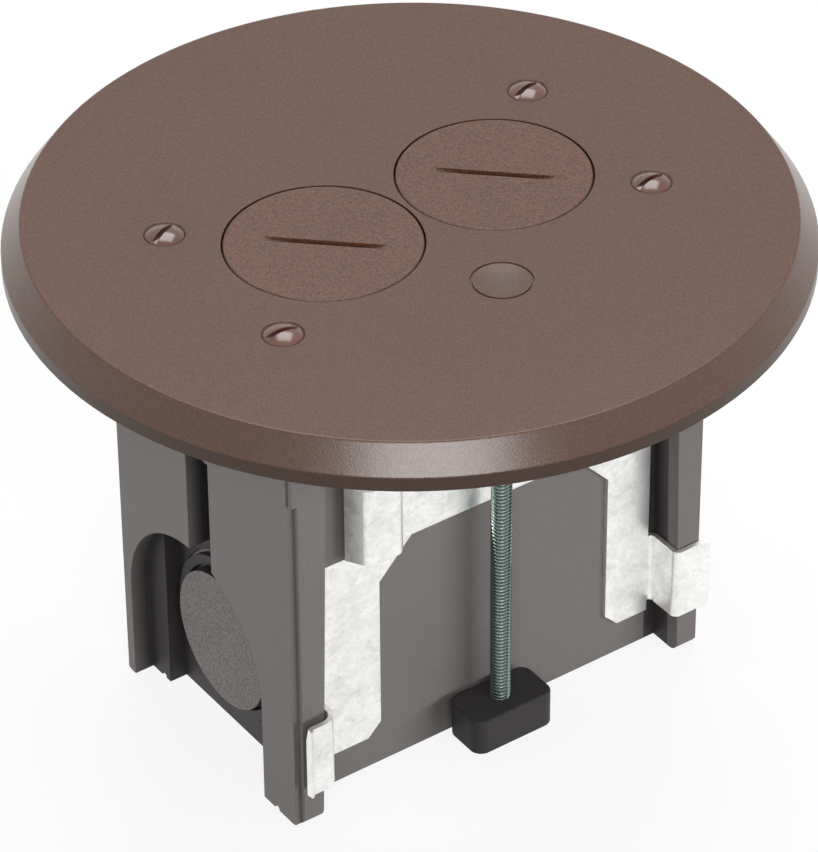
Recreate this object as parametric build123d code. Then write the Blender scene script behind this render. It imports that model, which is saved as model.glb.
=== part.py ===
from build123d import *
import os

# Floor socket box. A round cover with two screw plugs closes a duplex receptacle in a moulded box.
# The box hangs in a round hole in the floor from two bent steel brackets, and a plastic foot on
# each long screw is drawn up under the floor.
# Millimetres. +Z is up, Z = 0 is the underside of the box, X runs through both plugs and -Y is
# the long side nearest the viewer.

# Fits and clearances
running_gap = 0.05          # radial, a screw in the hole it turns in
loose_gap = 0.30            # radial, moulded thread and drop-in parts; also hook to flange
seat_gap = 0.15             # radial, a countersunk head in its countersink

# Cover
cover_diameter = 152.4
cover_height = 8.0
cover_rim_height = 2.8      # upright edge below the bevel
cover_bevel_width = 3.8
cover_plate_thickness = 3.0
cover_rim_wall = 2.7
cover_inner_taper = 2.1     # slope of the underside behind the bevel
cover_edge_radius = 0.5
rib_end_gap = 0.4           # rib on the underside, inside the ends of the box and past its chamber
rib_side_gap = 0.2          # the same along the long walls
gasket_thickness = 1.2
gate_mark_diameter = 11.0
gate_mark_depth = 0.35
gate_ring_width = 0.45
gate_ring_depth = 0.3
gate_mark_y = -29.0

# Plugs
plug_spacing = 38.9
plug_gap = 1.6              # between the flanges of the two plugs
plug_flange_overlap = 1.75  # flange past the threaded skirt, on the seal
plug_flange_thickness = 2.5
plug_skirt_wall = 1.9
plug_skirt_length = 4.0
plug_edge_chamfer = 0.25
seal_thickness = 0.8
collar_wall = 1.55          # round the counterbore of each plug
coin_slot_length = 23.7
coin_slot_width = 1.5
coin_slot_depth = 1.5
coin_slot_angle = -43.0     # from X, seen from above

# Cover screws
cover_screw_inset = 6.13    # axis of the screws inside the end of the gasket
cover_screw_edge = 3.3      # the same inside its long edge
cover_screw_head_radius = 3.7
cover_screw_dome = 1.2
cover_screw_sink = 0.2      # rim of the head below the cover
cover_screw_radius = 1.75
cover_screw_length = 25.0
cover_screw_slot_width = 1.1
cover_screw_slot_depth = 1.0
cover_screw_turns = (22.0, -6.0, 12.0, 4.0)

# Box
box_depth = 99.0            # also the level of the finished floor
box_length = 96.4
chamber_side_gap = 0.7      # ground screw of the receptacle to the long wall of the box
box_wall = 2.2
end_wall_setback = 8.0      # end wall behind the front of the columns
long_wall_setback = 7.6     # long wall behind the flange ends
flange_top_width = 8.0
flange_foot_width = 5.6
arch_offset = 4.2           # middle of the arch from the middle of the end
arch_radius = 22.8
arch_centre_z = 22.7
arch_back_wall = 1.4        # left behind the arch where it runs into a flange
gap_offset = 1.2
gap_width = 7.6
gap_top = 70.0
column_floor_z = 48.5
column_web = 2.4
knockout_offset = 2.8
knockout_z = 22.0
knockout_radius = 14.5
knockout_stand = 3.0
ring_radius = 17.2
ring_stand = 1.3
ring_groove = 0.7
ring_groove_depth = 0.6
corner_rebate = 1.2
corner_pad_z = 77.0
corner_pad_rise = 4.0
corner_pad_width = 5.0
corner_pad_stand = 0.4
bottom_corner_radius = 2.5
screw_boss_radius = 3.2
strap_recess_width = 16.6
strap_recess_depth = 6.0
mould_notch_radius = 0.8

# Bracket
sheet = 1.0
bracket_side_gap = 0.4      # sheet to the flange at the top of the box
bracket_foot_z = 8.0
near_leg_inner_x = 24.5
far_leg_inner_x = 29.5
leg_chamfer = 3.0
bar_lower_z = 53.0
bar_corner_run = 7.5
bar_corner_drop = 8.0
lip_half_width = 30.0
lip_rim_gap = 10.5          # end of the lip inside the rim of the cover
bend_radius = 1.5
hook_low_z = 10.5
hook_top_z = 26.5
hook_root_radius = 1.2
hook_root_overlap = 5.0
hook_corner = 2.0
near_hook_stand = 2.8       # plate of the hook off the flange end, to its middle
near_hook_short = 1.3       # straight part ends this far inside the end of the box
near_hook_flare = (1.5, 1.4)
far_hook_stand = 0.8
far_hook_short = 1.6
far_hook_flare = (2.1, 0.5)
rear_hook_short = 2.6
rear_hook_flare = (0.6, 0.1)
tab_low_z = 54.8
tab_high_z = 72.0
tab_root_x = 20.0
tab_out_run = 3.0
tab_stand = 5.6
tab_crest = 7.0
tab_back_run = 2.6
tab_tip_stand = 1.4
tab_bend_radius = 2.0
tab_window_margin = 0.8

# Clamp screw and foot
clamp_screw_radius = 2.085
clamp_screw_offset = 6.3    # axis off the long wall
clamp_screw_end_z = 1.0
clamp_head_radius = 4.1
clamp_head_height = 2.7
clamp_head_round = 1.2
clamp_slot_width = 1.2
clamp_slot_depth = 1.3
foot_length = 18.6
foot_width = 10.3
foot_height = 7.8
foot_bottom_z = 1.6
foot_front_offset = 11.8    # front of the foot off the long wall
foot_corner_radius = 2.5
foot_edge_radius = 0.5

# Receptacle
yoke_thickness = 1.6
yoke_ear_land = 3.33        # strap past the screws at its ends
yoke_end_width = 15.8
yoke_window_land = 1.55
yoke_window_length = 26.0
yoke_window_width = 22.0
yoke_screw_radius = 1.75
yoke_screw_head_radius = 3.4
yoke_screw_head_height = 2.0
yoke_screw_head_round = 0.8
yoke_screw_length = 18.0
yoke_slot_width = 0.9
yoke_slot_depth = 1.0
receptacle_end_land = 13.55  # body past the middle of each outlet
receptacle_width = 33.0
receptacle_body_height = 21.0
face_base_thickness = 1.8
face_rise = 3.1
outlet_diameter = 33.9
outlet_flats = 28.4
blade_spacing = 12.7
blade_offset = -4.5         # blade slots from the middle of the outlet, along X
blade_slot_width = 1.9
neutral_slot_length = 8.2
hot_slot_length = 6.6
ground_offset = 7.4
ground_radius = 2.7
pocket_depth = 16.8         # pockets and strips, all measured down from the strap
pocket_inner_y = 4.2
pocket_outer_y = 9.8
pocket_overrun = 9.55       # pockets past the middle of each outlet
pocket_side_gap = 0.3
pocket_end_gap = 1.0
ground_pocket_half_width = 3.3
ground_pocket_overrun = 4.4
ground_strip_overrun = 3.6
ground_strip_gap = 0.4
ground_strip_thickness = 0.8
ground_clip_half_width = 2.5
ground_riser_thickness = 0.8
leaf = 0.6
leaf_half_width = 3.0
leaf_gap = 0.75             # half the blade thickness plus spring room
leaf_top_depth = 2.0
bus_thickness = 0.8
bus_height = 8.0
terminal_plate = 0.9
terminal_leg = 1.0
terminal_leg_gap = 0.1
terminal_half_length = 13.0
terminal_top_depth = 3.0
terminal_bottom_depth = 15.0
terminal_x = 8.0
terminal_radius = 1.6
terminal_head_radius = 3.4
terminal_head_height = 2.0
terminal_slot_width = 1.0
terminal_slot_depth = 0.9
terminal_depth = 4.5
terminal_tip_gap = 0.4
ground_tab_x = -27.0
ground_tab_half_width = 4.0
ground_tab_depth = 11.0
ground_screw_depth = 6.0
rivet_y = 12.2
rivet_radius = 1.5
rivet_head_radius = 2.5
rivet_head_height = 0.8
centre_hole_radius = 1.7
overcut = 1.0               # how far a cutting block runs past the face it opens

# Levels and faces worked out from the sizes above
floor_z = box_depth
cover_top = floor_z + cover_height
cover_radius = cover_diameter / 2
cover_flat_radius = cover_radius - cover_bevel_width
cover_under = cover_top - cover_plate_thickness
frame_bottom = floor_z + gasket_thickness
plug_x = plug_spacing / 2
plug_flange_radius = (plug_spacing - plug_gap) / 2
plug_skirt_outer_radius = plug_flange_radius - plug_flange_overlap
receptacle_length = 2 * (plug_x + receptacle_end_land)
yoke_middle_half_length = plug_x + yoke_window_length / 2 + yoke_window_land
pocket_half_length = plug_x + pocket_overrun
flange_under = cover_top - plug_flange_thickness
ledge_z = flange_under - seal_thickness
counterbore_radius = plug_flange_radius + loose_gap
collar_bore_radius = plug_skirt_outer_radius + loose_gap
collar_outer_radius = counterbore_radius + collar_wall
half_length = box_length / 2
end_wall_x = half_length - end_wall_setback
chamber_x = end_wall_x - box_wall
chamber_y = receptacle_width / 2 + yoke_thickness + terminal_head_height + chamber_side_gap
long_wall_y = chamber_y + box_wall
half_width = long_wall_y + long_wall_setback
yoke_top = floor_z - strap_recess_depth + yoke_thickness
yoke_under = yoke_top - yoke_thickness
face_base_top = yoke_top + face_base_thickness
face_top = face_base_top + face_rise
body_bottom = yoke_under - receptacle_body_height
clamp_y = long_wall_y + clamp_screw_offset
sheet_mid = long_wall_y + sheet / 2
lip_top = floor_z + sheet
lip_reach = cover_radius - cover_rim_wall - lip_rim_gap
rib_outer_x = half_length - rib_end_gap
rib_outer_y = long_wall_y - rib_side_gap
cover_screw_x = rib_outer_x - cover_screw_inset
cover_screw_y = rib_outer_y - cover_screw_edge
yoke_half_length = cover_screw_x + yoke_ear_land
rib_inner_x = chamber_x + rib_end_gap
rib_inner_y = chamber_y + rib_side_gap
bracket_half_width = half_length - flange_top_width - bracket_side_gap
flange_at_hook = flange_foot_width + (flange_top_width - flange_foot_width) * hook_top_z / box_depth
hook_run_x = half_length - flange_at_hook - loose_gap - sheet / 2
pocket_floor_z = yoke_under - pocket_depth
leaf_top_z = yoke_under - leaf_top_depth
terminal_low_z = yoke_under - terminal_bottom_depth
terminal_high_z = yoke_under - terminal_top_depth
terminal_z = (terminal_low_z + terminal_high_z) / 2
ground_screw_z = yoke_under - ground_screw_depth


def block(x0, x1, y0, y1, z0, z1):
    """Upright block between two corners."""
    middle = Pos((x0 + x1) / 2, (y0 + y1) / 2, (z0 + z1) / 2)
    return middle * Box(abs(x1 - x0), abs(y1 - y0), abs(z1 - z0))


def post(x, y, z0, z1, radius):
    """Upright cylinder."""
    return Pos(x, y, (z0 + z1) / 2) * Cylinder(radius, z1 - z0)


def bar_y(x, z, y0, y1, radius):
    """Cylinder lying along Y."""
    return Pos(x, (y0 + y1) / 2, z) * Rot(90, 0, 0) * Cylinder(radius, abs(y1 - y0))


def bar_x(y, z, x0, x1, radius):
    """Cylinder lying along X."""
    return Pos((x0 + x1) / 2, y, z) * Rot(0, 90, 0) * Cylinder(radius, abs(x1 - x0))


def turned(points):
    """Solid of revolution about Z from (radius, height) points."""
    profile = make_face(Polyline(*[(r, z) for r, z in points], close=True))
    return revolve(Plane.XZ * profile, Axis.Z)


def bent_sheet(points, radii):
    """Face of a sheet of even thickness that follows a bent centre line."""
    path = FilletPolyline(*points, radius=radii)
    return trace(path, line_width=sheet)


def mirrored_ends(solid):
    """The solid and its copy at the other end of the box."""
    return solid + Rot(0, 0, 180) * solid


def write(node, shape):
    """Writes one sub-part as a STEP file of separate solids."""
    solids = shape.solids()
    body = solids[0] if len(solids) == 1 else Compound(children=list(solids))
    body.label = node
    export_step(body, f"parts/{node}.step")


# Cover, plugs and seals
def rib_band(z0, z1):
    """Rectangular band above the rim of the box."""
    band = block(-rib_outer_x, rib_outer_x, -rib_outer_y, rib_outer_y, z0, z1)
    return band - block(-rib_inner_x, rib_inner_x, -rib_inner_y, rib_inner_y, z0, z1)


def cover_plate():
    """Round cover with counterbored plug openings, collars and a rib for the gasket."""
    rim_top = floor_z + cover_rim_height
    inner_radius = cover_radius - cover_rim_wall
    plate = turned([
        (0, cover_top),
        (cover_flat_radius, cover_top),
        (cover_radius, rim_top),
        (cover_radius, floor_z),
        (inner_radius, floor_z),
        (inner_radius, rim_top),
        (inner_radius - cover_inner_taper, cover_under),
        (0, cover_under),
    ])
    rim_edges = [
        edge for edge in plate.edges().filter_by(GeomType.CIRCLE)
        if edge.radius > inner_radius + cover_edge_radius / 2 and edge.center().Z > floor_z + sheet
        or edge.center().Z > cover_top - cover_edge_radius / 2
    ]
    plate = fillet(rim_edges, cover_edge_radius)
    plate += rib_band(frame_bottom, cover_under)
    for x in (-plug_x, plug_x):
        plate += post(x, 0, frame_bottom, cover_under, collar_outer_radius)
    for x in (-plug_x, plug_x):
        plate -= post(x, 0, frame_bottom, cover_top, collar_bore_radius)
        plate -= post(x, 0, ledge_z, cover_top, counterbore_radius)
    sink = cover_screw_head_radius + cover_screw_sink + seat_gap
    hole = cover_screw_radius + loose_gap
    for x in (-cover_screw_x, cover_screw_x):
        for y in (-cover_screw_y, cover_screw_y):
            countersink = turned([(0, cover_top), (sink, cover_top), (hole, cover_top - sink + hole),
                                  (hole, frame_bottom), (0, frame_bottom)])
            plate -= Pos(x, y, 0) * countersink
    half_mark = gate_mark_diameter / 2
    ball = (half_mark ** 2 + gate_mark_depth ** 2) / (2 * gate_mark_depth)
    plate -= Pos(0, gate_mark_y, cover_top + ball - gate_mark_depth) * Sphere(ball)
    ring = post(0, gate_mark_y, cover_top - gate_ring_depth, cover_top, half_mark + gate_ring_width)
    return plate - (ring - post(0, gate_mark_y, cover_top - gate_ring_depth, cover_top, half_mark))


def cover_gasket():
    """Flat gasket between the box rim and the rib of the cover."""
    ring = rib_band(floor_z, frame_bottom)
    for x in (-cover_screw_x, cover_screw_x):
        for y in (-cover_screw_y, cover_screw_y):
            ring -= post(x, y, floor_z, frame_bottom, cover_screw_radius + loose_gap)
    return ring


def cover_screws():
    """Four oval-head screws, one solid each."""
    rim_z = cover_top - cover_screw_sink
    neck_z = rim_z - (cover_screw_head_radius - cover_screw_radius)
    ball = (cover_screw_head_radius ** 2 + cover_screw_dome ** 2) / (2 * cover_screw_dome)
    dome = Pos(0, 0, rim_z + cover_screw_dome - ball) * Sphere(ball)
    dome &= post(0, 0, rim_z, rim_z + 2 * cover_screw_dome, cover_screw_head_radius)
    screw = dome + turned([(0, rim_z), (cover_screw_head_radius, rim_z), (cover_screw_radius, neck_z),
                           (cover_screw_radius, cover_top - cover_screw_length),
                           (0, cover_top - cover_screw_length)])
    slot_floor = rim_z + cover_screw_dome - cover_screw_slot_depth
    slot = block(-cover_screw_head_radius, cover_screw_head_radius, -cover_screw_slot_width / 2,
                 cover_screw_slot_width / 2, slot_floor, slot_floor + 2 * cover_screw_slot_depth)
    places = [(-cover_screw_x, cover_screw_y), (-cover_screw_x, -cover_screw_y),
              (cover_screw_x, cover_screw_y), (cover_screw_x, -cover_screw_y)]
    group = []
    for (x, y), turn in zip(places, cover_screw_turns):
        group.append(Pos(x, y, 0) * (screw - Rot(0, 0, turn) * slot))
    return Compound(children=[part.solid() for part in group])


def plug_cap(x):
    """Screw plug: flat flange, threaded skirt below and a coin slot across the top."""
    cap = post(0, 0, flange_under, cover_top, plug_flange_radius)
    cap = chamfer(cap.edges().filter_by(GeomType.CIRCLE).group_by(Axis.Z)[-1], plug_edge_chamfer)
    skirt_bottom = flange_under - plug_skirt_length
    cap += post(0, 0, skirt_bottom, flange_under, plug_skirt_outer_radius)
    cap -= post(0, 0, skirt_bottom, flange_under, plug_skirt_outer_radius - plug_skirt_wall)
    coin = ((coin_slot_length / 2) ** 2 + coin_slot_depth ** 2) / (2 * coin_slot_depth)
    cutter = Pos(0, 0, cover_top + coin - coin_slot_depth) * Rot(90, 0, 0) * Cylinder(coin, coin_slot_width)
    cap -= Rot(0, 0, coin_slot_angle) * cutter
    return Pos(x, 0, 0) * cap


def plug_seal(x):
    """Flat ring under the flange of the plug."""
    ring = post(x, 0, ledge_z, flange_under, plug_flange_radius)
    return ring - post(x, 0, ledge_z, flange_under, plug_skirt_outer_radius + loose_gap)


# Box
def arch_cut(wall, y_limit):
    """Arch from the front of the -X end back to a wall, kept on one side of a limit in Y."""
    front = -half_length - overcut
    low = arch_offset - arch_radius
    high = arch_offset + arch_radius
    arch = bar_x(arch_offset, arch_centre_z, front, wall, arch_radius)
    arch += block(front, wall, low, high, -overcut, arch_centre_z)
    return arch & block(front, wall, low, min(high, y_limit), -overcut, arch_centre_z + arch_radius)


def box_end_cuts():
    """Arch, gap and column pockets at the -X end of the box."""
    front = -half_length - overcut
    wall = -end_wall_x
    gap_low = gap_offset - gap_width / 2
    gap_high = gap_offset + gap_width / 2
    cuts = arch_cut(wall, chamber_y)
    cuts += arch_cut(-half_length + flange_foot_width - arch_back_wall, half_width)
    cuts += block(front, wall, gap_low, gap_high, arch_centre_z, gap_top)
    pocket_front = -half_length + box_wall
    pocket_top = floor_z + overcut
    cuts += block(pocket_front, wall, -chamber_y, gap_low - column_web, column_floor_z, pocket_top)
    cuts += block(pocket_front, wall, gap_high + column_web, chamber_y, column_floor_z, pocket_top)
    return cuts


def box_end_bosses():
    """Posts for the cover screws, the knockout and its ring at the -X end."""
    bosses = post(-cover_screw_x, -cover_screw_y, column_floor_z, floor_z, screw_boss_radius)
    bosses += post(-cover_screw_x, cover_screw_y, column_floor_z, floor_z, screw_boss_radius)
    wall = -end_wall_x
    ring = bar_x(knockout_offset, knockout_z, wall - ring_stand, wall, ring_radius)
    ring -= bar_x(knockout_offset, knockout_z, wall - ring_stand, wall, knockout_radius + ring_groove)
    disc = bar_x(knockout_offset, knockout_z, wall - knockout_stand, wall + ring_groove_depth,
                 knockout_radius)
    return bosses + ring + disc


def box_end_grooves():
    """Grooves round the knockout and round its ring in the wall of the -X end."""
    inside = -end_wall_x + ring_groove_depth
    grooves = bar_x(knockout_offset, knockout_z, -end_wall_x, inside, ring_radius + ring_groove)
    grooves -= bar_x(knockout_offset, knockout_z, -end_wall_x, inside, ring_radius)
    return grooves + bar_x(knockout_offset, knockout_z, -end_wall_x, inside, knockout_radius + ring_groove)


def box_flanges():
    """Tapered flanges that carry the -X end past the long walls."""
    profile = Polyline((-half_length, 0), (-half_length + flange_foot_width, 0),
                       (-half_length + flange_top_width, floor_z), (-half_length, floor_z), close=True)
    flange = extrude(Plane.XZ * make_face(profile), amount=half_width, both=True)
    lower = flange.edges().filter_by(Axis.X).group_by(Axis.Z)[0]
    flange = fillet(lower, bottom_corner_radius)
    return flange - block(-half_length, half_length, -long_wall_y, long_wall_y, -overcut,
                          floor_z + overcut)


def box_corner(side):
    """Rebate and mould notch cut at one corner of the -X end, and the pad added above them."""
    y = side * half_width
    rebate = block(-half_length - corner_rebate, -half_length + corner_rebate, y - corner_rebate,
                   y + corner_rebate, -overcut, corner_pad_z)
    notch = bar_x(side * long_wall_y, 0, -half_length - overcut, -half_length + flange_foot_width,
                  mould_notch_radius)
    outer = y - side * corner_rebate
    inner = outer - side * corner_pad_width
    outline = Polyline((outer, corner_pad_z), (inner, corner_pad_z + corner_pad_rise),
                       (inner, floor_z), (outer, floor_z), close=True)
    pad = extrude(Plane.YZ.offset(-half_length) * make_face(outline), amount=-corner_pad_stand)
    return rebate + notch, pad


def box_body():
    """Moulded box: deep chamber, hollow columns at both ends and flanges at the corners."""
    body = block(-half_length, half_length, -long_wall_y, long_wall_y, 0, floor_z)
    body += mirrored_ends(box_flanges())
    body -= block(-chamber_x, chamber_x, -chamber_y, chamber_y, box_wall, floor_z + overcut)
    body -= mirrored_ends(box_end_cuts() + box_end_grooves())
    body += mirrored_ends(box_end_bosses())
    recess = block(-half_length - overcut, -chamber_x, -strap_recess_width / 2, strap_recess_width / 2,
                   floor_z - strap_recess_depth, floor_z + overcut)
    body -= mirrored_ends(recess)
    cover_thread = cover_screw_radius + running_gap
    yoke_thread = yoke_screw_radius + running_gap
    cover_hole_floor = cover_top - cover_screw_length - box_wall
    yoke_hole_floor = yoke_top - yoke_screw_length - box_wall
    for x in (-cover_screw_x, cover_screw_x):
        for y in (-cover_screw_y, cover_screw_y):
            body -= post(x, y, cover_hole_floor, floor_z + overcut, cover_thread)
        body -= post(x, 0, yoke_hole_floor, floor_z, yoke_thread)
    for side in (-1, 1):
        cuts, pad = box_corner(side)
        body -= mirrored_ends(cuts)
        body += mirrored_ends(pad)
    return body


# Brackets, clamp screws and feet
def bracket_side(inner_x):
    """Outline of one half of the flat sheet, from the middle of the bar to the top corner."""
    return [(inner_x - bar_corner_run, bar_lower_z), (inner_x, bar_lower_z - bar_corner_drop),
            (inner_x, bracket_foot_z + leg_chamfer), (inner_x + leg_chamfer, bracket_foot_z),
            (bracket_half_width, bracket_foot_z), (bracket_half_width, floor_z - bend_radius - sheet)]


def bracket_sheet():
    """Flat part of the bracket on the long wall: a bar above and two legs."""
    left = [(-x, z) for x, z in reversed(bracket_side(near_leg_inner_x))]
    outline = make_face(Polyline(*(bracket_side(far_leg_inner_x) + left), close=True))
    panel = extrude(Plane.XZ.offset(long_wall_y) * outline, amount=sheet)
    for side in (-1, 1):
        panel -= block(side * tab_root_x, side * (bracket_half_width + overcut), -long_wall_y + overcut,
                       -long_wall_y - sheet - overcut, tab_low_z - tab_window_margin,
                       tab_high_z + tab_window_margin)
    return panel


def bracket_lip():
    """Top of the bracket, bent out over the floor."""
    top_mid = floor_z + sheet / 2
    path = [(-sheet_mid, bar_lower_z + sheet), (-sheet_mid, top_mid), (-lip_reach, top_mid)]
    lip = extrude(Plane.YZ * bent_sheet(path, bend_radius), amount=lip_half_width, both=True)
    return lip - post(0, -clamp_y, floor_z - sheet, lip_top + sheet, clamp_screw_radius + running_gap)


def bracket_hook(stand, short, flare):
    """Lower hook of the -X leg, wrapped round the corner flange of the box."""
    plate_y = half_width + stand
    end_x = half_length - short
    tip_x = end_x + flare[0]
    tip_y = plate_y + flare[1]
    path = [(-hook_run_x + hook_root_overlap, -sheet_mid), (-hook_run_x, -sheet_mid),
            (-hook_run_x, -plate_y), (-end_x, -plate_y), (-tip_x, -tip_y)]
    face = bent_sheet(path, [hook_root_radius, max(stand, sheet), sheet * 0.6])
    hook = Pos(0, 0, hook_low_z) * extrude(face, amount=hook_top_z - hook_low_z)
    for z in (hook_low_z, hook_top_z):
        cutter = Pos(-tip_x - sheet / 2, -tip_y, z) * Rot(0, 45, 0)
        hook -= cutter * Box(hook_corner, 4 * sheet, hook_corner)
    return hook


def bracket_tab():
    """Curled upper tab of the -X leg: out from the sheet, along, and back towards the wall."""
    crest_x = tab_root_x + tab_out_run
    back_x = crest_x + tab_crest
    path = [(-tab_root_x + sheet, -sheet_mid), (-tab_root_x, -sheet_mid), (-crest_x, -sheet_mid - tab_stand),
            (-back_x, -sheet_mid - tab_stand), (-back_x - tab_back_run, -sheet_mid - tab_tip_stand)]
    face = bent_sheet(path, [sheet * 0.8, tab_bend_radius, tab_bend_radius])
    return Pos(0, 0, tab_low_z) * extrude(face, amount=tab_high_z - tab_low_z)


def bracket(near_hook, far_hook, turn):
    """Whole bracket from one bent sheet."""
    tabs = bracket_tab() + mirror(bracket_tab(), Plane.YZ)
    hooks = bracket_hook(*near_hook) + mirror(bracket_hook(*far_hook), Plane.YZ)
    return Rot(0, 0, turn) * (bracket_sheet() + bracket_lip() + tabs + hooks)


def clamp_screw(turn):
    """Long machine screw with a pan head on the lip of the bracket."""
    screw = post(0, -clamp_y, clamp_screw_end_z, lip_top, clamp_screw_radius)
    head = post(0, -clamp_y, lip_top, lip_top + clamp_head_height, clamp_head_radius)
    head = fillet(head.edges().filter_by(GeomType.CIRCLE).group_by(Axis.Z)[-1], clamp_head_round)
    screw += head
    slot = block(-clamp_head_radius, clamp_head_radius, -clamp_y - clamp_slot_width / 2,
                 -clamp_y + clamp_slot_width / 2, lip_top + clamp_head_height - clamp_slot_depth,
                 lip_top + clamp_head_height + overcut)
    return Rot(0, 0, turn) * (screw - slot)


def clamp_foot(turn):
    """Moulded foot threaded on the clamp screw, its back guided by the long wall."""
    front = long_wall_y + foot_front_offset
    foot = block(-foot_length / 2, foot_length / 2, -front, -front + foot_width, foot_bottom_z,
                 foot_bottom_z + foot_height)
    foot = fillet(foot.edges().filter_by(Axis.Z), foot_corner_radius)
    foot = fillet(foot.edges().group_by(Axis.Z)[-1], foot_edge_radius)
    foot -= post(0, -clamp_y, foot_bottom_z, foot_bottom_z + foot_height, clamp_screw_radius + running_gap)
    return Rot(0, 0, turn) * foot


# Receptacle
def outlet_places():
    """Middle of each outlet along X."""
    return (-plug_x, plug_x)


def receptacle_yoke():
    """Steel strap with an ear at each end and a tab for the ground screw."""
    yoke = block(-yoke_half_length, yoke_half_length, -yoke_end_width / 2, yoke_end_width / 2,
                 yoke_under, yoke_top)
    yoke += block(-yoke_middle_half_length, yoke_middle_half_length, -receptacle_width / 2,
                  receptacle_width / 2, yoke_under, yoke_top)
    for x in outlet_places():
        yoke -= block(x - yoke_window_length / 2, x + yoke_window_length / 2, -yoke_window_width / 2,
                      yoke_window_width / 2, yoke_under, yoke_top)
    side = -receptacle_width / 2
    yoke += block(ground_tab_x - ground_tab_half_width, ground_tab_x + ground_tab_half_width,
                  side - yoke_thickness, side, yoke_under - ground_tab_depth, yoke_top)
    yoke -= bar_y(ground_tab_x, ground_screw_z, side - yoke_thickness, side, terminal_radius + running_gap)
    for x in (-cover_screw_x, cover_screw_x):
        yoke -= post(x, 0, yoke_under, yoke_top, yoke_screw_radius + loose_gap)
    for y in (-rivet_y, rivet_y):
        yoke -= post(0, y, yoke_under, yoke_top, rivet_radius + running_gap)
    return yoke


def receptacle_face():
    """Face with two raised outlets, blade slots and ground holes."""
    face = block(-receptacle_length / 2, receptacle_length / 2, -receptacle_width / 2,
                 receptacle_width / 2, yoke_top, face_base_top)
    for x in outlet_places():
        raised = post(x, 0, face_base_top, face_top, outlet_diameter / 2)
        raised &= block(x - outlet_flats / 2, x + outlet_flats / 2, -outlet_diameter, outlet_diameter,
                        face_base_top, face_top)
        face += raised
    for x in outlet_places():
        blade_x = x + blade_offset
        for y, length in ((blade_spacing / 2, hot_slot_length), (-blade_spacing / 2, neutral_slot_length)):
            face -= block(blade_x - length / 2, blade_x + length / 2, y - blade_slot_width / 2,
                          y + blade_slot_width / 2, yoke_top, face_top)
        face -= post(x + ground_offset, 0, yoke_top, face_top, ground_radius)
    face -= post(0, 0, yoke_top, face_base_top, centre_hole_radius)
    for y in (-rivet_y, rivet_y):
        face -= post(0, y, yoke_top, face_top, rivet_radius + running_gap)
        face -= post(0, y, face_base_top, face_top, rivet_head_radius + loose_gap)
    return face


def receptacle_body():
    """Moulded body with pockets for the contacts."""
    body = block(-receptacle_length / 2, receptacle_length / 2, -receptacle_width / 2,
                 receptacle_width / 2, body_bottom, yoke_under)
    for side in (-1, 1):
        body -= block(-pocket_half_length, pocket_half_length, side * pocket_inner_y,
                      side * pocket_outer_y, pocket_floor_z, yoke_under)
        for x in (-terminal_half_length, terminal_half_length - terminal_leg):
            body -= block(x - terminal_leg_gap, x + terminal_leg + terminal_leg_gap, side * pocket_outer_y,
                          side * receptacle_width / 2, terminal_low_z - terminal_leg_gap, yoke_under)
        for x in (-terminal_x, terminal_x):
            y0 = side * receptacle_width / 2
            body -= bar_y(x, terminal_z, y0 - side * terminal_depth, y0, terminal_radius + running_gap)
        body -= post(0, side * rivet_y, body_bottom, yoke_under, rivet_radius + running_gap)
    places = [x + ground_offset for x in outlet_places()]
    body -= block(places[0] - ground_pocket_overrun, places[1] + ground_pocket_overrun,
                  -ground_pocket_half_width, ground_pocket_half_width,
                  pocket_floor_z - ground_strip_thickness, yoke_under)
    side_y = -receptacle_width / 2
    hole = terminal_radius + running_gap
    return body - bar_y(ground_tab_x, ground_screw_z, side_y, side_y + terminal_depth, hole)


def line_contact(side):
    """Brass contact of one pole: a bus, a spring clip under each slot and a terminal plate."""
    blade_y = blade_spacing / 2
    low = pocket_floor_z
    base_top = low + leaf
    inner = blade_y - leaf_gap - leaf
    outer = blade_y + leaf_gap + leaf
    bus_outer = pocket_outer_y - pocket_side_gap
    bus_inner = bus_outer - bus_thickness
    bus_half_length = pocket_half_length - pocket_end_gap
    contact = block(-bus_half_length, bus_half_length, side * bus_inner, side * bus_outer, low,
                    low + bus_height)
    for x in outlet_places():
        x0 = x + blade_offset - leaf_half_width
        x1 = x + blade_offset + leaf_half_width
        contact += block(x0, x1, side * inner, side * bus_outer, low, base_top)
        contact += block(x0, x1, side * inner, side * (inner + leaf), low, leaf_top_z)
        contact += block(x0, x1, side * (outer - leaf), side * outer, low, leaf_top_z)
    wall = receptacle_width / 2
    for x in (-terminal_half_length, terminal_half_length - terminal_leg):
        contact += block(x, x + terminal_leg, side * bus_inner, side * (wall + terminal_plate),
                         terminal_low_z, low + bus_height)
    plate = block(-terminal_half_length, terminal_half_length, side * wall, side * (wall + terminal_plate),
                  terminal_low_z, terminal_high_z)
    for x in (-terminal_x, terminal_x):
        plate -= bar_y(x, terminal_z, side * wall, side * (wall + terminal_plate),
                       terminal_radius + running_gap)
    return contact + plate


def ground_contact():
    """Ground strip with a clip under each round hole and a riser to the strap."""
    low = pocket_floor_z - ground_strip_thickness
    half = ground_pocket_half_width - ground_strip_gap
    places = [x + ground_offset for x in outlet_places()]
    strip = block(places[0] - ground_strip_overrun, places[1] + ground_strip_overrun, -half, half, low,
                  pocket_floor_z)
    for x in places:
        for side in (-1, 1):
            strip += block(x - ground_clip_half_width, x + ground_clip_half_width, side * half,
                           side * (half - leaf), low, leaf_top_z)
    strip += block(-ground_riser_thickness / 2, ground_riser_thickness / 2, -half, half, low, yoke_under)
    return strip


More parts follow.
